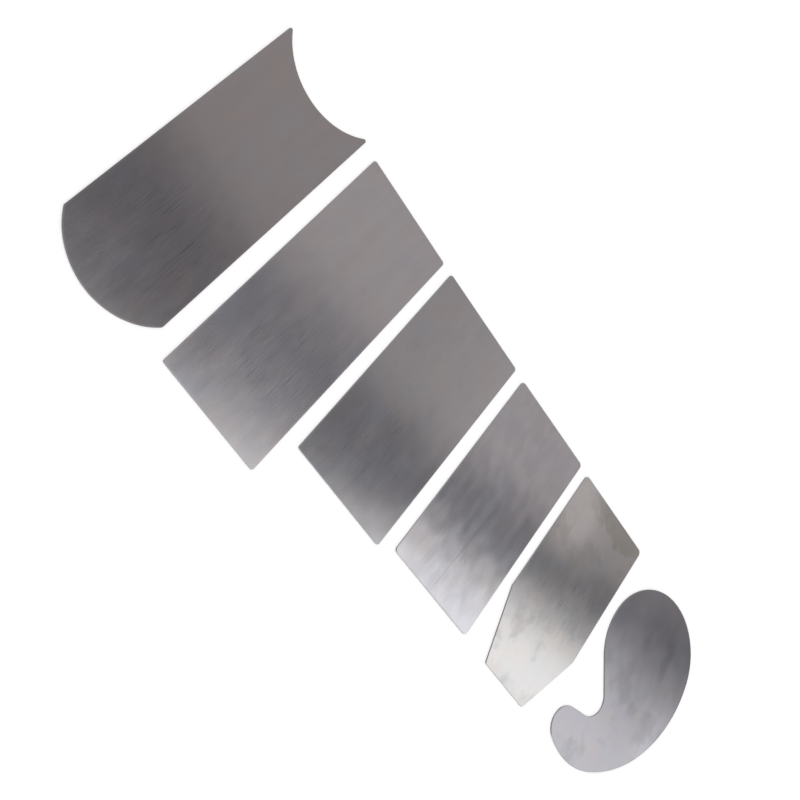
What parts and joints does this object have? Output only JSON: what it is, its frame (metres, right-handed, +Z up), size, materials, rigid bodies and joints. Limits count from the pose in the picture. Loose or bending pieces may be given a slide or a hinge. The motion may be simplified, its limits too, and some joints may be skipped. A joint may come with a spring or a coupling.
{
  "type": "card scraper set",
  "caption": "Flat hand scrapers of thin ground steel for smoothing wood, laid in a row: curved-ended, rectangular, taper-nosed and goose-neck outlines.",
  "frame": {"origin": "under the middle of the whole row, on the surface that the scrapers lie on", "axes": "+X along the scrapers towards their even ends, +Y across the row from the goose-neck to the curved scraper, +Z up"},
  "size_m": [0.16, 0.43, 0.0008],
  "materials": {
    "ground_spring_steel": "ground along the length, satin, bare"
  },
  "bodies": {
    "convex_concave_scraper": {"convex_concave_scraper": "ground_spring_steel"},
    "long_rectangular_scraper": {"long_rectangular_scraper": "ground_spring_steel"},
    "medium_rectangular_scraper": {"medium_rectangular_scraper": "ground_spring_steel"},
    "short_rectangular_scraper": {"short_rectangular_scraper": "ground_spring_steel"},
    "tapered_scraper": {"tapered_scraper": "ground_spring_steel"},
    "gooseneck_scraper": {"gooseneck_scraper": "ground_spring_steel"}
  },
  "joints": [
    {"name": "convex_concave_lift", "type": "slide", "parent": "long_rectangular_scraper", "child": "convex_concave_scraper", "axis": [0, 0, 1], "range_m": [0, 0.05]},
    {"name": "medium_rectangular_lift", "type": "slide", "parent": "long_rectangular_scraper", "child": "medium_rectangular_scraper", "axis": [0, 0, 1], "range_m": [0, 0.05]},
    {"name": "short_rectangular_lift", "type": "slide", "parent": "long_rectangular_scraper", "child": "short_rectangular_scraper", "axis": [0, 0, 1], "range_m": [0, 0.05]},
    {"name": "tapered_lift", "type": "slide", "parent": "long_rectangular_scraper", "child": "tapered_scraper", "axis": [0, 0, 1], "range_m": [0, 0.05]},
    {"name": "gooseneck_lift", "type": "slide", "parent": "long_rectangular_scraper", "child": "gooseneck_scraper", "axis": [0, 0, 1], "range_m": [0, 0.05]}
  ]
}
